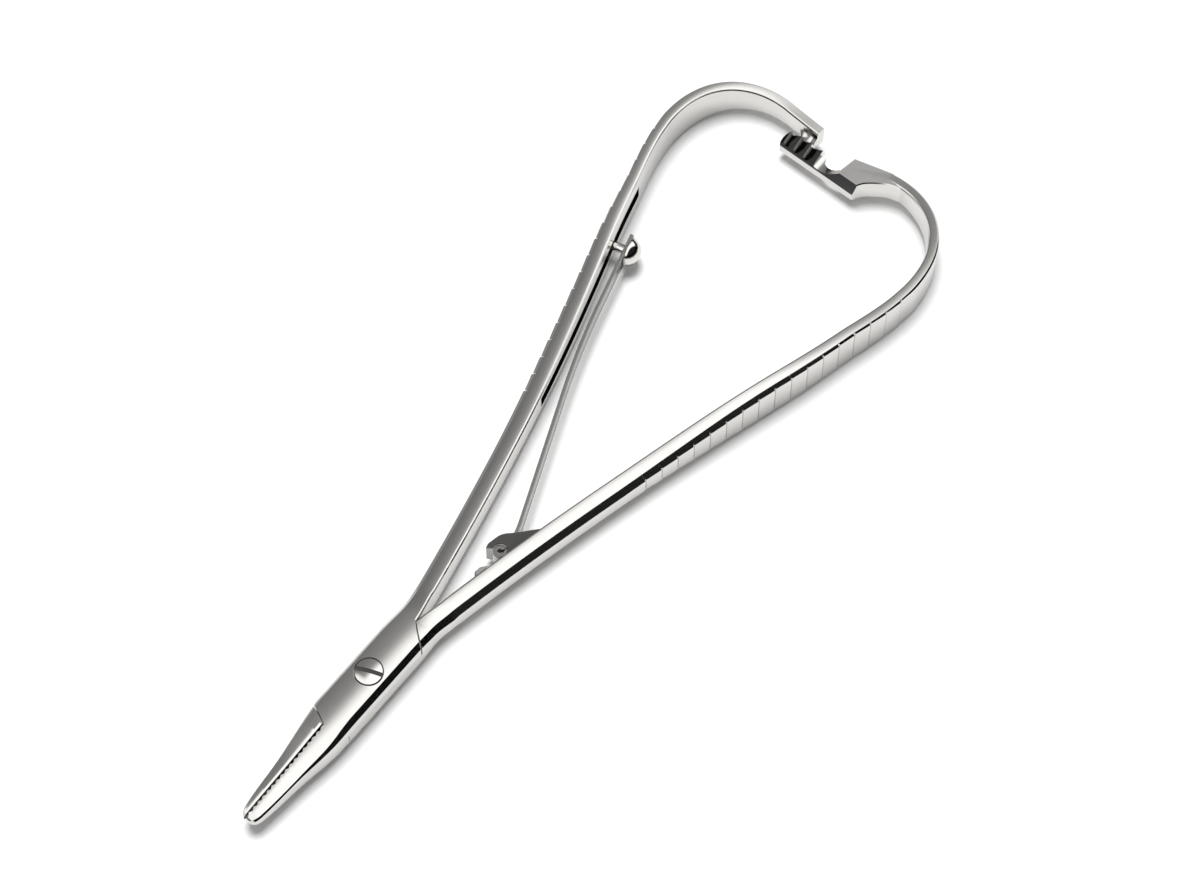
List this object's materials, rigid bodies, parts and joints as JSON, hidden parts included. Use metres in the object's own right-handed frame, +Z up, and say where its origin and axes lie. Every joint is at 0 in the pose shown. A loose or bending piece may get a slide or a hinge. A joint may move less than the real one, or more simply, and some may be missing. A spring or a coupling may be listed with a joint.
{
  "type": "surgical needle holder",
  "caption": "Surgical needle holder with crossing levers on a slotted screw, curled bow handles, an end ratchet, serrated jaws and a leaf spring with a sliding button.",
  "frame": {"origin": "on the resting plane, under the middle of the overall length and on the centre line; the pivot screw's axis stands 51.9 mm from it towards the jaws, at x = -0.0519 m", "axes": "+X along the centre line from the jaws to the ratchet, +Y towards the upper lever's handle, +Z up through the screw's head"},
  "size_m": [0.1703, 0.0584, 0.01],
  "materials": {
    "lever_steel": "satin polished stainless steel",
    "screw_steel": "bright turned stainless steel",
    "spring_steel": "satin spring steel strip",
    "button_steel": "polished"
  },
  "bodies": {
    "lower": {"lower_lever": "lever_steel", "pivot_screw": "screw_steel"},
    "upper": {"upper_lever": "lever_steel"},
    "spring": {"leaf_spring": "spring_steel", "guide_button": "button_steel"}
  },
  "joints": [
    {"name": "main_hinge", "type": "hinge", "parent": "lower", "child": "upper", "pos_m": [-0.0519, 0, 0.005], "axis": [0, 0, 1], "range_deg": [0, 20]},
    {"name": "spring_hinge", "type": "hinge", "parent": "lower", "child": "spring", "pos_m": [-0.0193, -0.0027, 0.005], "axis": [0, 0, 1], "range_deg": [0, 29]}
  ],
  "couplings": [
    {"joint": "spring_hinge", "follows": "main_hinge", "ratio": 1.43}
  ]
}
